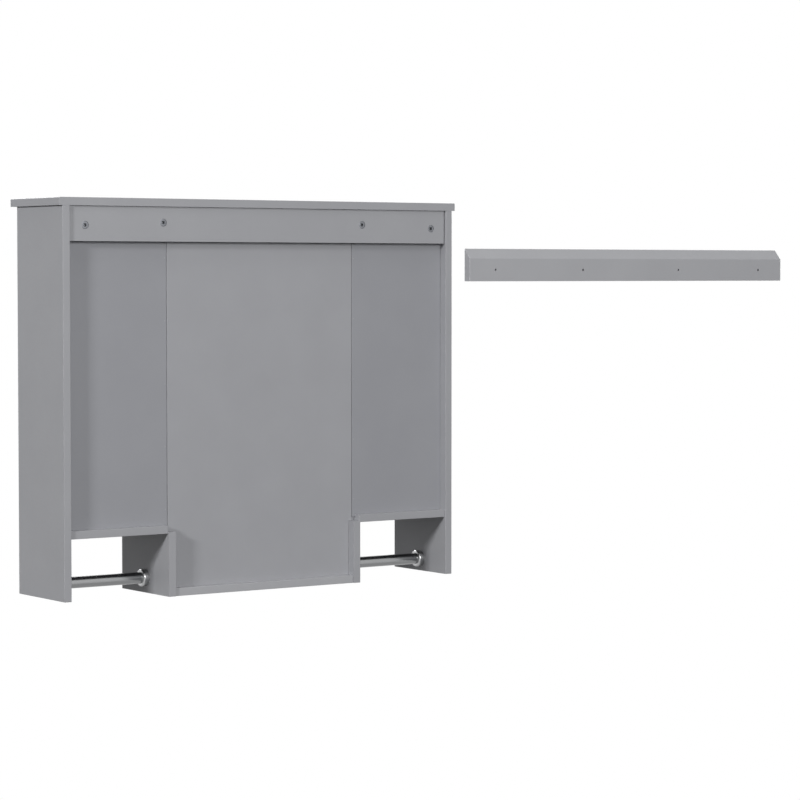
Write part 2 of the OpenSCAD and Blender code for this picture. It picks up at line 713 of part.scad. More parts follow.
module frame_leaf(level) color(steel) placed() sided(-1) difference() {
    z = hinges_z[level];
    x = hinge_x + leaf_gap / 2;
    union() {
        leaf_plate(x, z);
        for (low = [z - hinge_h / 2, z + knuckle_h / 2]) {
            knuckle(low, knuckle_h);
            leaf_tab(x, low, knuckle_h);
        }
    }
    pin_bore(z);
    at_frame_leaf_screws() screw_hole(small_head_r, leaf_t, small_screw_r, leaf_t);
}

module door_leaf(level) color(steel) placed() sided(-1) difference() {
    z = hinges_z[level];
    x = hinge_x - leaf_gap / 2 - leaf_t;
    low = z - knuckle_h / 2 + leaf_gap;
    union() {
        leaf_plate(x, z);
        knuckle(low, knuckle_h - 2 * leaf_gap);
        leaf_tab(x, low, knuckle_h - 2 * leaf_gap);
    }
    pin_bore(z);
    at_door_leaf_screws() screw_hole(small_head_r, leaf_t, small_screw_r, leaf_t);
}

module hinge_pin(level) color(steel) placed() sided(-1) translate([hinge_x, hinge_y, hinges_z[level]]) {
    head_h = 1.5;
    head_r = barrel_r - 2 * leaf_gap;
    cylinder(r = hinge_pin_r, h = hinge_h + 2 * fit_play, center = true);
    for (end = [-1, 1]) translate([0, 0, end * (hinge_h / 2 + fit_play + head_h / 2)])
        cylinder(r = head_r, h = head_h, center = true);
}

module frame_leaf_screws() color(steel) placed() sided(-1) at_frame_leaf_screws()
    wood_screw(small_head_r, leaf_t, small_screw_r, small_screw_in);

module door_leaf_screws() color(steel) placed() sided(-1) at_door_leaf_screws()
    wood_screw(small_head_r, leaf_t, small_screw_r, small_screw_in);

module door_panel() color(paint) placed() difference() {
    board([-door_w / 2, -body_d, door_low], [door_w / 2, door_back, door_high]);
    translate([-pocket_w / 2, -body_d - eps, door_low + mirror_border])
        cube([pocket_w, eps + lip_d + mirror_t, pocket_h]);
    lip_bevel();
    sided(-1) {
        leaf_mortises();
        at_door_leaf_screws() pilot(small_screw_r, leaf_t + small_screw_in);
    }
    translate([knob_x, -body_d - eps, door_mid_z]) rotate([-90, 0, 0])
        cylinder(r = knob_screw_r + 2 * fit_play, h = door_t + 2 * eps);
    at_strike_screws() pilot(small_screw_r, strike_t + small_screw_in);
}

// The slope round the mirror, from the door's face down to the glass
module lip_bevel() {
    deep = lip_d + eps;
    mouth = 2 * lip_w * deep / lip_d;
    translate([0, -body_d - eps, door_mid_z]) rotate([-90, 0, 0])
        linear_extrude(height = deep, slices = 1,
            scale = [pocket_w / (pocket_w + mouth), pocket_h / (pocket_h + mouth)])
            square([pocket_w + mouth, pocket_h + mouth], center = true);
}

// Glass with a bevel ground round its front
module mirror_glass() color("#dfe6ea") placed()
    translate([0, -body_d + lip_d + mirror_t, door_mid_z]) rotate([90, 0, 0]) {
        w = pocket_w - 2 * mirror_play;
        h = pocket_h - 2 * mirror_play;
        plate_t = mirror_t - mirror_bevel_d;
        linear_extrude(height = plate_t) square([w, h], center = true);
        translate([0, 0, plate_t]) linear_extrude(height = mirror_bevel_d, slices = 1,
            scale = [1 - 2 * mirror_bevel / w, 1 - 2 * mirror_bevel / h]) square([w, h], center = true);
    }

// Turned knob: foot, waist and domed head
module door_knob() color(steel) placed()
    translate([knob_x, -body_d, door_mid_z]) rotate([90, 0, 0]) difference() {
        rotate_extrude() knob_profile();
        translate([0, 0, -eps])
            cylinder(r = knob_screw_r + fit_play, h = knob_screw_in + end_play + eps);
    }

module knob_profile() {
    steps = 12;
    foot_r = knob_r * 0.62;
    waist_r = knob_r * 0.42;
    head_l = knob_l * 0.56;
    foot_h = 2.5;
    waist_z = 5.5;
    head_start = -60;
    polygon(concat(
        [[0, 0], [foot_r, 0], [foot_r, foot_h], [waist_r, waist_z]],
        [for (k = [0:steps]) let (a = head_start + (90 - head_start) * k / steps)
            [knob_r * cos(a), knob_l - head_l / 2 + head_l / 2 * sin(a)]]));
}

module knob_screw() color(steel) placed() translate([knob_x, door_back, door_mid_z]) rotate([90, 0, 0]) {
    cylinder(r = knob_screw_r, h = door_t + knob_screw_in);
    translate([0, 0, -knob_screw_head]) cylinder(r = 2 * knob_screw_r, h = knob_screw_head);
}

module catch_case() color("#e8e8e6") placed() difference() {
    union() {
        translate([catch_x - catch_w / 2, catch_front + catch_d - catch_ear_d, centre_top])
            cube([catch_w, catch_ear_d, catch_ear_t]);
        translate([catch_x - catch_block_w / 2, catch_front, centre_top])
            cube([catch_block_w, catch_d, catch_h]);
    }
    translate([catch_x - magnet_w / 2 - fit_play, catch_front - eps, centre_top + catch_ear_t])
        cube([magnet_w + 2 * fit_play, magnet_d + end_play + eps, magnet_h + fit_play]);
    at_catch_screws() translate([0, 0, catch_ear_t])
        screw_hole(small_head_r, leaf_t, small_screw_r, catch_ear_t);
}

module catch_magnet() color(steel) placed()
    translate([catch_x - magnet_w / 2, catch_front, centre_top + catch_ear_t])
        cube([magnet_w, magnet_d, magnet_h]);

module catch_screws() color(steel) placed() at_catch_screws() translate([0, 0, catch_ear_t])
    wood_screw(small_head_r, leaf_t, small_screw_r, small_screw_in);

module strike_plate() color(steel) placed() difference() {
    translate([catch_x - strike_w / 2, door_back, strike_z - strike_h / 2])
        cube([strike_w, strike_t, strike_h]);
    at_strike_screws() screw_hole(small_head_r, strike_t, small_screw_r, strike_t);
}

module strike_screws() color(steel) placed() at_strike_screws()
    wood_screw(small_head_r, strike_t, small_screw_r, small_screw_in);

top_panel();
sided(-1) side_panel();  // side_left
side_panel();  // side_right
sided(-1) divider(true);  // divider_left
divider(false);  // divider_right
sided(-1) bay_floor();  // bay_floor_left
bay_floor();  // bay_floor_right
centre_floor();
sided(-1) bay_back();  // bay_back_left
bay_back();  // bay_back_right
centre_back();
hanging_rail();
rail_cam_locks();
rail_cam_bolts();
top_cam_locks();
top_cam_bolts();
floor_cam_locks();
floor_cam_bolts();
wood_dowels();
panel_pins();
sided(-1) bay_shelf(0);  // bay_shelf_left_lower
sided(-1) bay_shelf(1);  // bay_shelf_left_upper
bay_shelf(0);  // bay_shelf_right_lower
bay_shelf(1);  // bay_shelf_right_upper
centre_shelf(0);  // centre_shelf_lower
centre_shelf(1);  // centre_shelf_middle
centre_shelf(2);  // centre_shelf_upper
bay_shelf_pins();
centre_shelf_pins();
sided(-1) towel_bar();  // towel_bar_left
towel_bar();  // towel_bar_right
sided(-1) bar_flange(true);  // flange_left_outer
sided(-1) bar_flange(false);  // flange_left_inner
bar_flange(true);  // flange_right_outer
bar_flange(false);  // flange_right_inner
flange_screws();
flange_grub_screws();
frame_leaf(1);  // frame_leaf_upper
frame_leaf(0);  // frame_leaf_lower
frame_leaf_screws();
hinge_pin(1);  // hinge_pin_upper
hinge_pin(0);  // hinge_pin_lower
catch_case();
catch_magnet();
catch_screws();
door_panel();
mirror_glass();
door_leaf(1);  // door_leaf_upper
door_leaf(0);  // door_leaf_lower
door_leaf_screws();
door_knob();
knob_screw();
strike_plate();
strike_screws();
wall_rail();
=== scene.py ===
# Medicine cabinet seen from behind, with its wall rail beside it
import json
import math

import bmesh
import bpy
from mathutils import Matrix, Vector


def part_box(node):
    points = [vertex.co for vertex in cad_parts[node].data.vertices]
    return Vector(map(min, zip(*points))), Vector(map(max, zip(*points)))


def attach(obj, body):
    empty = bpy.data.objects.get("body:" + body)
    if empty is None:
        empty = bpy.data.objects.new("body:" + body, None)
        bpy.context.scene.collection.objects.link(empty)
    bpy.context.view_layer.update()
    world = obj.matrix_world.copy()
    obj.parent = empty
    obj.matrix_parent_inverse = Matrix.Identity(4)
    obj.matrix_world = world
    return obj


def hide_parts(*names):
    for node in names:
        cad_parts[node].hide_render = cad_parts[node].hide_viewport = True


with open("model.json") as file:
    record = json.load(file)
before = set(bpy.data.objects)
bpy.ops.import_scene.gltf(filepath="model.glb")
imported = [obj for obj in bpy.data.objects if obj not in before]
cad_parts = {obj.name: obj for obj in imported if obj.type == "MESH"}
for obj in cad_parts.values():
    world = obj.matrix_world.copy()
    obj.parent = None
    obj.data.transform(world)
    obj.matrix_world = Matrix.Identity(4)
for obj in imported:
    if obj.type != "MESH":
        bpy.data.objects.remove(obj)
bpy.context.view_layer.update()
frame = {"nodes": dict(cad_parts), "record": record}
nodes = frame["nodes"]
record = frame["record"]
bodyOf = {node: body for body, members in record["behaviour"]["bodies"].items() for node in members}
slotOf = {part["node"]: part["material_slot"] for part in record["subparts"]}
print("frame loaded:", len(nodes), "nodes")

# Camera where the photograph was taken from
photoCamera = {
    "place": (2.9206, 4.6181, -0.0568),
    "yaw": -125.0,
    "pitch": -2.574,
    "roll": 0.0,
    "lens": 127.9,
    "sensor": 36,
    "farthest": 60,
}


def makeCamera(look):
    yaw, pitch, roll = (math.radians(look[key]) for key in ("yaw", "pitch", "roll"))
    ahead = Vector((math.cos(yaw) * math.cos(pitch), math.sin(yaw) * math.cos(pitch), math.sin(pitch)))
    right = Vector((math.sin(yaw), -math.cos(yaw), 0))
    up = right.cross(ahead)
    rightRolled = math.cos(roll) * right + math.sin(roll) * up
    upRolled = math.cos(roll) * up - math.sin(roll) * right
    turn = Matrix((rightRolled, upRolled, -ahead)).transposed().to_4x4()
    camera = bpy.data.objects.new("photoCamera", bpy.data.cameras.new("photoCamera"))
    camera.data.lens = look["lens"]
    camera.data.sensor_width = look["sensor"]
    camera.data.clip_end = look["farthest"]
    camera.matrix_world = Matrix.Translation(look["place"]) @ turn
    bpy.context.scene.collection.objects.link(camera)
    bpy.context.scene.camera = camera


makeCamera(photoCamera)
print("camera set")


# Shader nodes that the materials share
def startMaterial(name):
    material = bpy.data.materials.new(name)
    material.use_nodes = True
    tree = material.node_tree
    return material, tree, tree.nodes["Principled BSDF"]


def addNode(tree, kind, **values):
    node = tree.nodes.new(kind)
    for key, value in values.items():
        setattr(node, key, value)
    return node


def objectCoords(tree, stretch=(1, 1, 1)):
    coords = addNode(tree, "ShaderNodeTexCoord")
    mapping = addNode(tree, "ShaderNodeMapping")
    mapping.inputs["Scale"].default_value = stretch
    tree.links.new(coords.outputs["Object"], mapping.inputs["Vector"])
    return mapping.outputs["Vector"]


def noiseOf(tree, vector, scale, detail=3.0, roughness=0.55):
    noise = addNode(tree, "ShaderNodeTexNoise")
    noise.inputs["Scale"].default_value = scale
    noise.inputs["Detail"].default_value = detail
    noise.inputs["Roughness"].default_value = roughness
    tree.links.new(vector, noise.inputs["Vector"])
    return noise.outputs["Fac"]


def rangeOf(tree, value, low, high, fromLow=0.3, fromHigh=0.7):
    spread = addNode(tree, "ShaderNodeMapRange")
    spread.inputs["From Min"].default_value = fromLow
    spread.inputs["From Max"].default_value = fromHigh
    spread.inputs["To Min"].default_value = low
    spread.inputs["To Max"].default_value = high
    tree.links.new(value, spread.inputs["Value"])
    return spread.outputs["Result"]


def addTone(tree, shader, pattern, look):
    mix = addNode(tree, "ShaderNodeMix", data_type="RGBA")
    mix.inputs["A"].default_value = (*look["dark"], 1)
    mix.inputs["B"].default_value = (*look["light"], 1)
    tree.links.new(rangeOf(tree, pattern, 0, 1), mix.inputs["Factor"])
    tree.links.new(mix.outputs["Result"], shader.inputs["Base Color"])


def addRoughness(tree, shader, pattern, look):
    tree.links.new(rangeOf(tree, pattern, look["roughLow"], look["roughHigh"]), shader.inputs["Roughness"])


def addBump(tree, shader, height, distance, normal=None):
    bump = addNode(tree, "ShaderNodeBump")
    bump.inputs["Distance"].default_value = distance
    bump.inputs["Strength"].default_value = 1
    tree.links.new(height, bump.inputs["Height"])
    if normal:
        tree.links.new(normal, bump.inputs["Normal"])
    tree.links.new(bump.outputs["Normal"], shader.inputs["Normal"])
    return bump.outputs["Normal"]


# Grey satin paint, rolled on fibreboard
boardPaint = {
    "light": (0.312, 0.315, 0.332),
    "dark": (0.296, 0.299, 0.316),
    "cloudScale": 9,
    "cloudDetail": 4,
    "peelScale": 1100,
    "peelDetail": 2,
    "peelDepth": 0.00005,
    "fibreScale": 260,
    "fibreDetail": 5,
    "fibreRoughness": 0.7,
    "fibreDepth": 0.00004,
    "roughLow": 0.42,
    "roughHigh": 0.56,
}
backPaint = dict(boardPaint, light=(0.315, 0.318, 0.337), dark=(0.299, 0.302, 0.320),
                 roughLow=0.5, roughHigh=0.64)
# the bay backs are painted darker: painted shade of the recessed bays
bayBackPaintedShade = dict(backPaint, light=(0.272, 0.276, 0.296), dark=(0.258, 0.262, 0.282))
# painted light: a lighter paint for the wall rail and the centre floor, for the light they catch
boardPaintedLight = dict(boardPaint, light=(0.362, 0.365, 0.382), dark=(0.344, 0.347, 0.364))


def paintMaterial(name, look):
    material, tree, shader = startMaterial(name)
    coords = objectCoords(tree)
    clouds = noiseOf(tree, coords, look["cloudScale"], look["cloudDetail"])
    addTone(tree, shader, clouds, look)
    peel = noiseOf(tree, coords, look["peelScale"], look["peelDetail"])
    fibres = noiseOf(tree, coords, look["fibreScale"], look["fibreDetail"], look["fibreRoughness"])
    addRoughness(tree, shader, fibres, look)
    under = addBump(tree, shader, fibres, look["fibreDepth"])
    addBump(tree, shader, peel, look["peelDepth"], normal=under)
    return material


# Metals
chromePlate = {
    "light": (0.325, 0.33, 0.335),
    "dark": (0.31, 0.315, 0.32),
    "roughLow": 0.2,
    "roughHigh": 0.22,
    "grain": 500,
    "depth": 0.000001,
}
# painted highlight: the flanges get a lighter chrome than the bars; their rougher finish is real
flangeChromePaintedLight = dict(chromePlate, light=(0.48, 0.485, 0.49), dark=(0.46, 0.465, 0.47),
                    roughLow=0.3, roughHigh=0.32)
castZinc = {
    "light": (0.19, 0.195, 0.21),
    "dark": (0.12, 0.125, 0.135),
    "roughLow": 0.45,
    "roughHigh": 0.6,
    "grain": 900,
    "depth": 0.00003,
}
zincPlate = {
    "light": (0.66, 0.67, 0.68),
    "dark": (0.52, 0.53, 0.55),
    "roughLow": 0.22,
    "roughHigh": 0.38,
    "grain": 700,
    "depth": 0.00001,
}
satinNickel = {
    "light": (0.44, 0.43, 0.405),
    "dark": (0.37, 0.36, 0.335),
    "roughLow": 0.3,
    "roughHigh": 0.42,
    "grain": 800,
    "depth": 0.00001,
}


def metalMaterial(name, look):
    material, tree, shader = startMaterial(name)
    grain = noiseOf(tree, objectCoords(tree), look["grain"], detail=4)
    addTone(tree, shader, grain, look)
    shader.inputs["Metallic"].default_value = 1
    addRoughness(tree, shader, grain, look)
    addBump(tree, shader, grain, look["depth"])
    return material


# Silvered glass, and its bevel that was ground afterwards
mirrorSilver = {
    "light": (0.87, 0.895, 0.90),
    "dark": (0.85, 0.88, 0.885),
    "rough": 0.012,
    "cloudScale": 6,
    "coat": 1.0,
}
mirrorGround = dict(mirrorSilver, light=(0.77, 0.805, 0.81), dark=(0.74, 0.78, 0.785), rough=0.03)


def mirrorMaterial(name, look):
    material, tree, shader = startMaterial(name)
    clouds = noiseOf(tree, objectCoords(tree), look["cloudScale"])
    addTone(tree, shader, clouds, look)
    shader.inputs["Metallic"].default_value = 1
    shader.inputs["Roughness"].default_value = look["rough"]
    shader.inputs["Coat Weight"].default_value = look["coat"]
    return material


# Beech, plastic and ferrite
beech = {"light": (0.62, 0.44, 0.26), "dark": (0.48, 0.31, 0.16), "grain": 90, "detail": 6,
         "stretch": (1, 1, 0.08), "rough": 0.6, "depth": 0.0001}


def beechMaterial(name, look):
    material, tree, shader = startMaterial(name)
    grain = noiseOf(tree, objectCoords(tree, look["stretch"]), look["grain"], look["detail"])
    addTone(tree, shader, grain, look)
    shader.inputs["Roughness"].default_value = look["rough"]
    addBump(tree, shader, grain, look["depth"])
    return material


catchPlastic = {"light": (0.78, 0.78, 0.75), "dark": (0.72, 0.72, 0.69), "grain": 1500,
                "roughLow": 0.4, "roughHigh": 0.5, "depth": 0.00003}
ferrite = {"light": (0.10, 0.10, 0.11), "dark": (0.05, 0.05, 0.055), "grain": 1200,
           "roughLow": 0.55, "roughHigh": 0.75, "depth": 0.00005}


def grainedMaterial(name, look):
    material, tree, shader = startMaterial(name)
    grain = noiseOf(tree, objectCoords(tree), look["grain"])
    addTone(tree, shader, grain, look)
    addRoughness(tree, shader, grain, look)
    addBump(tree, shader, grain, look["depth"])
    return material


finishes = {
    "painted_board": paintMaterial("greyBoardPaint", boardPaint),
    "painted_back": paintMaterial("greyBackPaint", backPaint),
    "cam_zinc": metalMaterial("castZinc", castZinc),
    "bolt_steel": metalMaterial("zincPlate", zincPlate),
    "dowel_wood": beechMaterial("beech", beech),
    "pin_steel": metalMaterial("pinSteel", zincPlate),
    "bar_chrome": metalMaterial("chromePlate", chromePlate),
    "hinge_nickel": metalMaterial("satinNickel", satinNickel),
    "mirror": mirrorMaterial("mirrorSilver", mirrorSilver),
    "catch_plastic": grainedMaterial("catchPlastic", catchPlastic),
    "catch_magnet": grainedMaterial("ferrite", ferrite),
    "pin_enamel": paintMaterial("greyPinEnamel", backPaint),
    "strike_steel": metalMaterial("strikeSteel", zincPlate),
}
# the next three finishes are painted shade (bay backs) and painted light (wall rail, centre floor,
# flanges)
bayBackPaintedShadeFinish = paintMaterial("greyBayBackPaintedShade", bayBackPaintedShade)
boardPaintedLightFinish = paintMaterial("greyBoardPaintedLight", boardPaintedLight)
flangePaintedLightFinish = metalMaterial("flangeChromePaintedLight", flangeChromePaintedLight)
groundFinish = mirrorMaterial("mirrorGroundBevel", mirrorGround)

# A few pieces stand a shade apart from the rest of their slot: the bay backs darker as painted shade, the
# wall rail and centre floor lighter as painted light, the flanges a lighter chrome as a painted highlight
ownFinish = {
    "bay_back_left": bayBackPaintedShadeFinish,
    "bay_back_right": bayBackPaintedShadeFinish,
    "wall_rail": boardPaintedLightFinish,
    "centre_floor": boardPaintedLightFinish,
    "flange_left_outer": flangePaintedLightFinish,
    "flange_left_inner": flangePaintedLightFinish,
    "flange_right_outer": flangePaintedLightFinish,
    "flange_right_inner": flangePaintedLightFinish,
}


def finishOf(nodeName):
    return ownFinish.get(nodeName) or finishes[slotOf[nodeName]]


for name, node in nodes.items():
    node.data.materials.clear()
    node.data.materials.append(finishOf(name))
print("materials put on", len(nodes), "nodes")

# Boards with eased edges, and turned or pressed metal with soft shading.
# Edges up to the length "shortest" stay as they are, so that bores keep their rims
easing = {
    "board": {"offset": 0.0008, "segments": 3, "shortest": 0.012, "sharp": 40},
    "back": {"offset": 0.0006, "segments": 2, "shortest": 0.012, "sharp": 40, "reach": 0.00045},
    "metal": {"offset": 0.00018, "segments": 2, "shortest": 0.0, "sharp": 35},
    "round": {"offset": 0.0, "segments": 1, "shortest": 0.0, "sharp": 35},
    "glass": {"offset": 0.0003, "segments": 2, "shortest": 0.0, "sharp": 35, "smooth": 3},
}
merging = {"distance": 0.000002, "flatAngle": 0.4}


def mergedCopy(nodeName):
    shape = bmesh.new()
    shape.from_mesh(nodes[nodeName].data)
    bmesh.ops.remove_doubles(shape, verts=shape.verts, dist=merging["distance"])
    bmesh.ops.dissolve_limit(shape, angle_limit=math.radians(merging["flatAngle"]), verts=shape.verts,
                             edges=shape.edges, delimit={"NORMAL"})
    return shape


def easeEdges(shape, look):
    corners = [edge for edge in shape.edges
               if len(edge.link_faces) == 2 and edge.is_convex
               and edge.calc_face_angle() > math.radians(look["sharp"])
               and edge.calc_length() > look["shortest"]]
    if look["offset"] and corners:
        bmesh.ops.bevel(shape, geom=corners, offset=look["offset"], offset_type="OFFSET", affect="EDGES",
                        segments=look["segments"], profile=0.5, clamp_overlap=True, material=-1)


def softShade(shape, look):
    for face in shape.faces:
        face.smooth = True
    for edge in shape.edges:
        limit = math.radians(look.get("smooth", look["sharp"]))
        edge.smooth = len(edge.link_faces) == 2 and edge.calc_face_angle() < limit


def addPiece(shape, name, nodeName):
    mesh = bpy.data.meshes.new(name)
    shape.to_mesh(mesh)
    shape.free()
    piece = bpy.data.objects.new(name, mesh)
    bpy.context.scene.collection.objects.link(piece)
    mesh.materials.append(finishOf(nodeName))
    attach(piece, bodyOf[nodeName])
    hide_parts(nodeName)
    return piece


centreLow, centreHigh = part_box("centre_back")
seam = {
    "middle": (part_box("bay_back_right")[0].x + centreHigh.x) / 2,
    "near": centreHigh.y - centreLow.y,  # a panel's thickness
}


def closeSeams(shape, reach):
    # each back panel reaches a little further over the divider, which makes the seam narrower
    for vert in shape.verts:
        inward = seam["middle"] - abs(vert.co.x)
        if abs(inward) < seam["near"]:
            vert.co.x += math.copysign(reach, inward * vert.co.x)


def dress(nodeName, kind):
    shape = mergedCopy(nodeName)
    if "reach" in easing[kind]:
        closeSeams(shape, easing[kind]["reach"])
    easeEdges(shape, easing[kind])
    softShade(shape, easing[kind])
    piece = addPiece(shape, nodeName + "_finished", nodeName)
    if kind in ("board", "back"):
        weighted = piece.modifiers.new("flatFaces", "WEIGHTED_NORMAL")
        weighted.keep_sharp = True
    return piece


boards = [name for name in nodes if slotOf[name] == "painted_board"]
backs = [name for name in nodes if slotOf[name] == "painted_back"]
rounds = [name for name in nodes if name.startswith(("towel_bar", "flange_left", "flange_right"))]
for name in boards:
    dress(name, "board")
for name in backs:
    dress(name, "back")
for name in rounds:
    dress(name, "round")
pressed = ["catch_case", "catch_magnet", "strike_plate"]
pressed += [name for name in nodes
            if name.startswith(("frame_leaf_", "door_leaf_")) and not name.endswith("screws")]
for name in pressed:
    dress(name, "metal")
print("boards and metal dressed")

# Mirror: the ground bevel round the edge shows a shade darker than the flat silver
groundSlope = {"flattest": 3, "steepest": 20}


def dressMirror(look):
    mirror = dress("mirror_glass", "glass")
    mirror.data.materials.append(groundFinish)
    for face in mirror.data.polygons:
        slope = math.degrees(Vector((0, -1, 0)).angle(face.normal))
        if look["flattest"] < slope < look["steepest"]:
            face.material_index = 1


dressMirror(groundSlope)


# The low and high corners of each separate solid of a CAD node
def solidBoxes(nodeName):
    shape = bmesh.new()
    shape.from_mesh(nodes[nodeName].data)
    bmesh.ops.remove_doubles(shape, verts=shape.verts, dist=merging["distance"])
    waiting = set(shape.verts)
    boxes = []
    while waiting:
        found = [waiting.pop()]
        for vert in found:
            for edge in vert.link_edges:
                other = edge.other_vert(vert)
                if other in waiting:
                    waiting.discard(other)
                    found.append(other)
        points = [vert.co for vert in found]
        boxes.append((Vector([min(p[k] for p in points) for k in range(3)]),
                      Vector([max(p[k] for p in points) for k in range(3)])))
    shape.free()
    return sorted(boxes, key=lambda box: tuple(round(value, 5) for value in box[0]))


def joinShape(whole, one):
    part = bpy.data.meshes.new("part")
    one.to_mesh(part)
    one.free()
    whole.from_mesh(part)
    bpy.data.meshes.remove(part)


def turnedShape(outline, sides):
    shape = bmesh.new()
    points = [shape.verts.new((radius, 0, height)) for radius, height in outline]
    edges = [shape.edges.new(pair) for pair in zip(points, points[1:])]
    bmesh.ops.spin(shape, geom=points + edges, axis=(0, 0, 1), cent=(0, 0, 0), angle=math.tau,
                   steps=sides, use_merge=True)
    bmesh.ops.remove_doubles(shape, verts=shape.verts, dist=merging["distance"])
    bmesh.ops.recalc_face_normals(shape, faces=shape.faces)
    return shape


# Cam locks: the cross slot opens into a driver hole in the middle
driverHole = {"mouth": 0.0031, "bottom": 0.002, "depth": 0.0045, "proud": 0.0005, "sides": 20}
camFacing = {
    "rail_cam_locks": lambda middle: Vector((0, 1, 0)),
    "top_cam_locks": lambda middle: Vector((-math.copysign(1, middle.x), 0, 0)),
    "floor_cam_locks": lambda middle: Vector((0, 0, -1)),
}


def dressCamLocks(nodeName, look):
    locks = dress(nodeName, "metal")
    cutters = bmesh.new()
    for low, high in solidBoxes(nodeName):
        middle = (low + high) / 2
        facing = camFacing[nodeName](middle)
        face = middle + facing * abs((high - low).dot(facing)) / 2
        turn = facing.to_track_quat("Z", "Y").to_matrix().to_4x4()
        move = Matrix.Translation(face - facing * (look["depth"] - look["proud"]) / 2)
        bmesh.ops.create_cone(cutters, cap_ends=True, segments=look["sides"], radius1=look["bottom"],
                              radius2=look["mouth"], depth=look["depth"] + look["proud"],
                              matrix=move @ turn)
    mesh = bpy.data.meshes.new("driverHoles")
    cutters.to_mesh(mesh)
    cutters.free()
    tool = bpy.data.objects.new("driverHoles", mesh)
    bpy.context.scene.collection.objects.link(tool)
    cut = locks.modifiers.new("driverHole", "BOOLEAN")
    cut.operation = "DIFFERENCE"
    cut.solver = "EXACT"
    cut.object = tool
    bpy.context.view_layer.update()
    drilled = bmesh.new()
    drilled.from_object(locks, bpy.context.evaluated_depsgraph_get())
    locks.modifiers.clear()
    bpy.data.objects.remove(tool)
    softShade(drilled, easing["metal"])
    drilled.to_mesh(locks.data)
    drilled.free()


for name in camFacing:
    dressCamLocks(name, driverHole)
print("cam locks drilled")

# Screws with a cross recess
smallScrew = {
    "radius": 0.0024,
    "head": 0.0012,
    "shank": 0.0012,
    "tip": 0.0003,
    "dome": 0.0,
    "cross": 0.0016,
    "slot": 0.0006,
    "recess": 0.0007,
    "taper": 0.7,
    "rim": 0.00008,
    "sides": 24,
}
panScrew = dict(smallScrew, radius=0.004, head=0.0022, shank=0.002, tip=0.0005, dome=0.0007,
                cross=0.0024, slot=0.0009, recess=0.0012)


def ringOf(shape, radius, height, sides):
    made = bmesh.ops.create_circle(shape, cap_ends=False, radius=radius, segments=sides)
    bmesh.ops.translate(shape, verts=made["verts"], vec=(0, 0, height))
    return made["verts"]


def edgesAmong(verts):
    chosen = set(verts)
    return [edge for edge in {edge for vert in verts for edge in vert.link_edges}
            if edge.verts[0] in chosen and edge.verts[1] in chosen]


def crossFaces(shape, look):
    made = bmesh.ops.create_grid(shape, x_segments=3, y_segments=3, size=look["cross"])
    for vert in made["verts"]:
        for k in range(2):
            if abs(vert.co[k]) < look["cross"] / 2:
                vert.co[k] = math.copysign(look["slot"] / 2, vert.co[k])
    faces = {face for vert in made["verts"] for face in vert.link_faces}
    corners = [face for face in faces
               if min(abs(value) for value in face.calc_center_median()[:2]) > look["slot"] / 2]
    bmesh.ops.delete(shape, geom=corners, context="FACES")
    return [vert for vert in made["verts"] if vert.is_valid and vert.link_faces]


def crossHeadScrew(look, length, straightHead):
    # the head's face is at z = 0 and the shank points to -z
    shape = bmesh.new()
    plus = crossFaces(shape, look)
    bottom = list({face for vert in plus for face in vert.link_faces})
    rim = [edge for edge in edgesAmong(plus) if len(edge.link_faces) == 1]
    outer = ringOf(shape, look["radius"] - look["rim"], -look["dome"], look["sides"])
    bmesh.ops.bridge_loops(shape, edges=rim + edgesAmong(outer))
    moved = bmesh.ops.extrude_face_region(shape, geom=bottom)
    sunk = [item for item in moved["geom"] if isinstance(item, bmesh.types.BMVert)]
    bmesh.ops.delete(shape, geom=bottom, context="FACES_ONLY")
    bmesh.ops.scale(shape, verts=sunk, vec=(look["taper"], look["taper"], 1))
    bmesh.ops.translate(shape, verts=sunk, vec=(0, 0, -look["recess"]))
    neck = look["radius"] if straightHead else look["shank"]
    steps = [(look["radius"], -look["dome"] - look["rim"]), (neck, -look["head"]),
             (look["shank"], -look["head"]), (look["shank"], -length + look["shank"]),
             (look["tip"], -length)]
    last = outer
    for radius, height in steps:
        ring = ringOf(shape, radius, height, look["sides"])
        bmesh.ops.bridge_loops(shape, edges=edgesAmong(last) + edgesAmong(ring))
        last = ring
    bmesh.ops.contextual_create(shape, geom=edgesAmong(last))
    bmesh.ops.remove_doubles(shape, verts=shape.verts, dist=merging["distance"])
    bmesh.ops.recalc_face_normals(shape, faces=shape.faces)
    return shape


def placeScrews(nodeName, look, facing, straightHead=False):
    facing = Vector(facing)
    allScrews = bmesh.new()
    for low, high in solidBoxes(nodeName):
        middle = (low + high) / 2
        length = abs((high - low).dot(facing))
        one = crossHeadScrew(look, length, straightHead)
        turn = facing.to_track_quat("Z", "Y").to_matrix().to_4x4()
        one.transform(Matrix.Translation(middle + facing * length / 2) @ turn)
        joinShape(allScrews, one)
    softShade(allScrews, easing["metal"])
    addPiece(allScrews, nodeName + "_crossHeads", nodeName)


placeScrews("frame_leaf_screws", smallScrew, (1, 0, 0))
placeScrews("door_leaf_screws", smallScrew, (-1, 0, 0))
placeScrews("catch_screws", smallScrew, (0, 0, 1))
placeScrews("strike_screws", smallScrew, (0, 1, 0))
placeScrews("knob_screw", panScrew, (0, 1, 0), straightHead=True)
print("screws made")

# Knob, turned in one piece; foot, waist and head are shares of its radius or length
knobTurning = {
    "foot": 0.62,
    "footHeight": 0.0025,
    "waist": 0.42,
    "waistHeight": 0.0055,
    "head": 0.56,
    "under": -60,
    "steps": 20,
    "sides": 64,
    "edge": 0.0005,
}


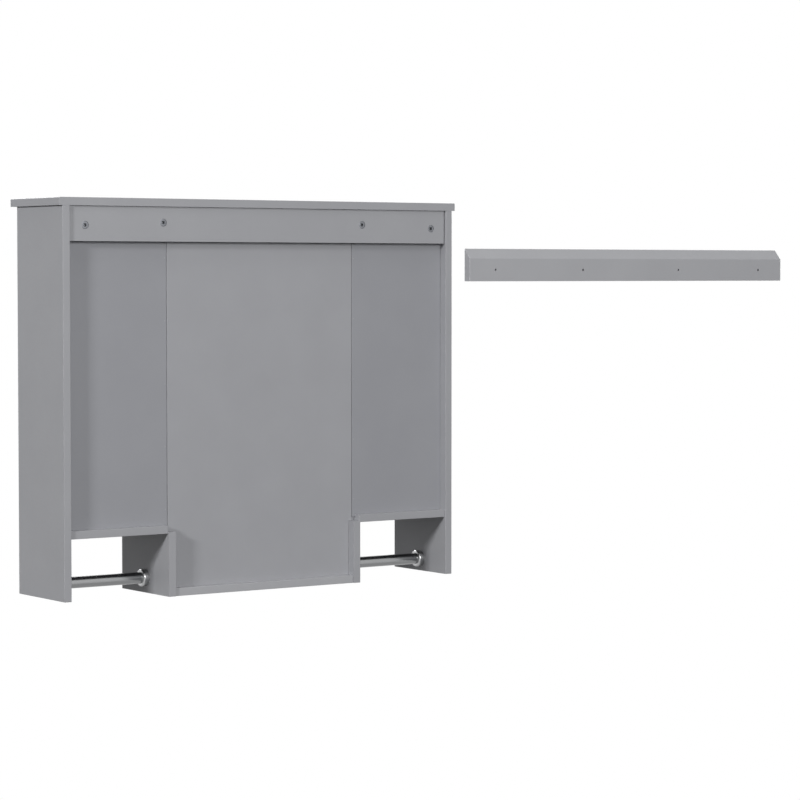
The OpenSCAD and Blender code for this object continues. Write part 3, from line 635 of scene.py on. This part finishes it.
def makeKnob(look):
    low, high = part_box("door_knob")
    radius, length = (high.x - low.x) / 2, high.y - low.y
    middleX, middleZ = (low.x + high.x) / 2, (low.z + high.z) / 2
    headHalf = length * look["head"] / 2
    footRadius, edge = radius * look["foot"], look["edge"]
    foot = [(0, 0), (footRadius - edge, 0), (footRadius, edge), (footRadius, look["footHeight"] - edge),
            (footRadius - edge, look["footHeight"]), (radius * look["waist"], look["waistHeight"])]
    sweep = 90 - look["under"]
    angles = [math.radians(look["under"] + sweep * k / look["steps"]) for k in range(look["steps"] + 1)]
    head = [(radius * math.cos(a), length - headHalf + headHalf * math.sin(a)) for a in angles]
    shape = turnedShape(foot + head, look["sides"])
    turn = Matrix.Rotation(math.radians(90), 4, "X")
    shape.transform(Matrix.Translation((middleX, high.y, middleZ)) @ turn)
    softShade(shape, easing["metal"])
    addPiece(shape, "door_knob_turned", "door_knob")


makeKnob(knobTurning)

# Panel pins with domed heads
pinTurning = {"head": 0.0013, "dome": 0.0004, "shank": 0.0006, "point": 0.0012, "steps": 4, "sides": 16}


def makePanelPins(look):
    allPins = bmesh.new()
    for low, high in solidBoxes("panel_pins"):
        length = high.y - low.y
        arc = [math.radians(90 * k / look["steps"]) for k in range(look["steps"] + 1)]
        neck = length - look["dome"]
        outline = [(look["head"] * math.sin(a), neck + look["dome"] * math.cos(a)) for a in arc]
        outline += [(look["shank"], neck), (look["shank"], look["point"]), (0, 0)]
        one = turnedShape(outline, look["sides"])
        middle = (low + high) / 2
        turn = Matrix.Rotation(math.radians(-90), 4, "X")
        one.transform(Matrix.Translation((middle.x, low.y, middle.z)) @ turn)
        joinShape(allPins, one)
    softShade(allPins, easing["metal"])
    addPiece(allPins, "panel_pins_domed", "panel_pins")


makePanelPins(pinTurning)
print("knob and pins made")

# Room: a pale floor at the height it has under a hung cabinet, and white all round.
# "glow" and "floorTone" are what camera and mirror see, "bounceTone" and "air" what lights the cabinet
room = {
    "floorZ": -1.87,
    "floorSize": 80,
    "white": 1.0,
    "glow": 0.05,
    "nearRadius": 1.5,
    "farRadius": 4,
    "floorTone": 0.5,
    "bounceTone": 0.06,
    "air": 0.06,
}


def isSeen(tree):
    # 1 for what the camera, metal and glass see, 0 for light that falls on the cabinet
    path = addNode(tree, "ShaderNodeLightPath")
    either = addNode(tree, "ShaderNodeMath", operation="MAXIMUM")
    tree.links.new(path.outputs["Is Camera Ray"], either.inputs[0])
    tree.links.new(path.outputs["Is Glossy Ray"], either.inputs[1])
    anySeen = addNode(tree, "ShaderNodeMath", operation="MAXIMUM")
    tree.links.new(either.outputs[0], anySeen.inputs[0])
    tree.links.new(path.outputs["Is Transmission Ray"], anySeen.inputs[1])
    return anySeen.outputs[0]


def greyDiffuse(tree, tone):
    diffuse = addNode(tree, "ShaderNodeBsdfDiffuse")
    diffuse.inputs["Color"].default_value = (tone, tone, tone, 1)
    return diffuse.outputs[0]


def mixShaders(tree, factor, first, second):
    mix = addNode(tree, "ShaderNodeMixShader")
    tree.links.new(factor, mix.inputs["Fac"])
    tree.links.new(first, mix.inputs[1])
    tree.links.new(second, mix.inputs[2])
    return mix.outputs[0]


def glowOf(tree, kind, strength):
    light = addNode(tree, kind)
    light.inputs["Color"].default_value = (1, 1, 1, 1)
    light.inputs["Strength"].default_value = strength
    return light.outputs[0]


def makeFloor(look):
    shape = bmesh.new()
    bmesh.ops.create_grid(shape, x_segments=1, y_segments=1, size=look["floorSize"] / 2)
    mesh = bpy.data.meshes.new("studioFloor")
    shape.to_mesh(mesh)
    shape.free()
    floor = bpy.data.objects.new("studioFloor", mesh)
    floor.location.z = look["floorZ"]
    bpy.context.scene.collection.objects.link(floor)
    material = bpy.data.materials.new("paleFloor")
    material.use_nodes = True
    tree = material.node_tree
    tree.nodes.clear()
    output = addNode(tree, "ShaderNodeOutputMaterial")
    coords = addNode(tree, "ShaderNodeTexCoord")
    distance = addNode(tree, "ShaderNodeVectorMath", operation="LENGTH")
    tree.links.new(coords.outputs["Object"], distance.inputs[0])
    lit = addNode(tree, "ShaderNodeAddShader")
    tree.links.new(greyDiffuse(tree, look["floorTone"]), lit.inputs[0])
    tree.links.new(glowOf(tree, "ShaderNodeEmission", look["glow"]), lit.inputs[1])
    white = glowOf(tree, "ShaderNodeEmission", look["white"])
    far = rangeOf(tree, distance.outputs["Value"], 0, 1, look["nearRadius"], look["farRadius"])
    seen = mixShaders(tree, far, lit.outputs[0], white)
    chosen = mixShaders(tree, isSeen(tree), greyDiffuse(tree, look["bounceTone"]), seen)
    clear = addNode(tree, "ShaderNodeBsdfTransparent")  # a camera under the floor looks up through it
    under = addNode(tree, "ShaderNodeNewGeometry").outputs["Backfacing"]
    tree.links.new(mixShaders(tree, under, chosen, clear.outputs[0]), output.inputs["Surface"])
    mesh.materials.append(material)


def makeWorld(look):
    world = bpy.data.worlds.new("studioAir")
    bpy.context.scene.world = world
    world.use_nodes = True
    tree = world.node_tree
    tree.nodes.clear()
    output = addNode(tree, "ShaderNodeOutputWorld")
    air = glowOf(tree, "ShaderNodeBackground", look["air"])
    white = glowOf(tree, "ShaderNodeBackground", look["white"])
    tree.links.new(mixShaders(tree, isSeen(tree), air, white), output.inputs["Surface"])


# Softboxes: each points at the cabinet's middle
softboxes = {
    "wallSideKey": {"azimuth": 18.5, "height": 17, "away": 8, "size": 1.0, "power": 425},
    "wallSideFill": {"azimuth": 90, "height": 15, "away": 8, "size": 2.6, "power": 358},
    "wallSideTop": {"azimuth": 60, "height": 70, "away": 8, "size": 2.6, "power": 120},
    "doorSideKey": {"azimuth": -101, "height": 33, "away": 8, "size": 4.0, "power": 520},
    "doorSideFill": {"azimuth": -155, "height": 15, "away": 8, "size": 4.0, "power": 330},
}
lightTarget = Vector((0, -0.09, -0.3))


def makeSoftbox(name, look):
    azimuth, height = math.radians(look["azimuth"]), math.radians(look["height"])
    level = math.cos(height)
    towards = Vector((math.cos(azimuth) * level, math.sin(azimuth) * level, math.sin(height)))
    lamp = bpy.data.objects.new(name, bpy.data.lights.new(name, "AREA"))
    lamp.data.energy = look["power"]
    lamp.data.size = look["size"]
    lamp.location = lightTarget + towards * look["away"]
    lamp.rotation_mode = "QUATERNION"
    lamp.rotation_quaternion = (-towards).to_track_quat("-Z", "Y")
    bpy.context.scene.collection.objects.link(lamp)


makeFloor(room)
makeWorld(room)
for name, look in softboxes.items():
    makeSoftbox(name, look)
bpy.context.scene.view_settings.view_transform = "Standard"
print("room and lights set")
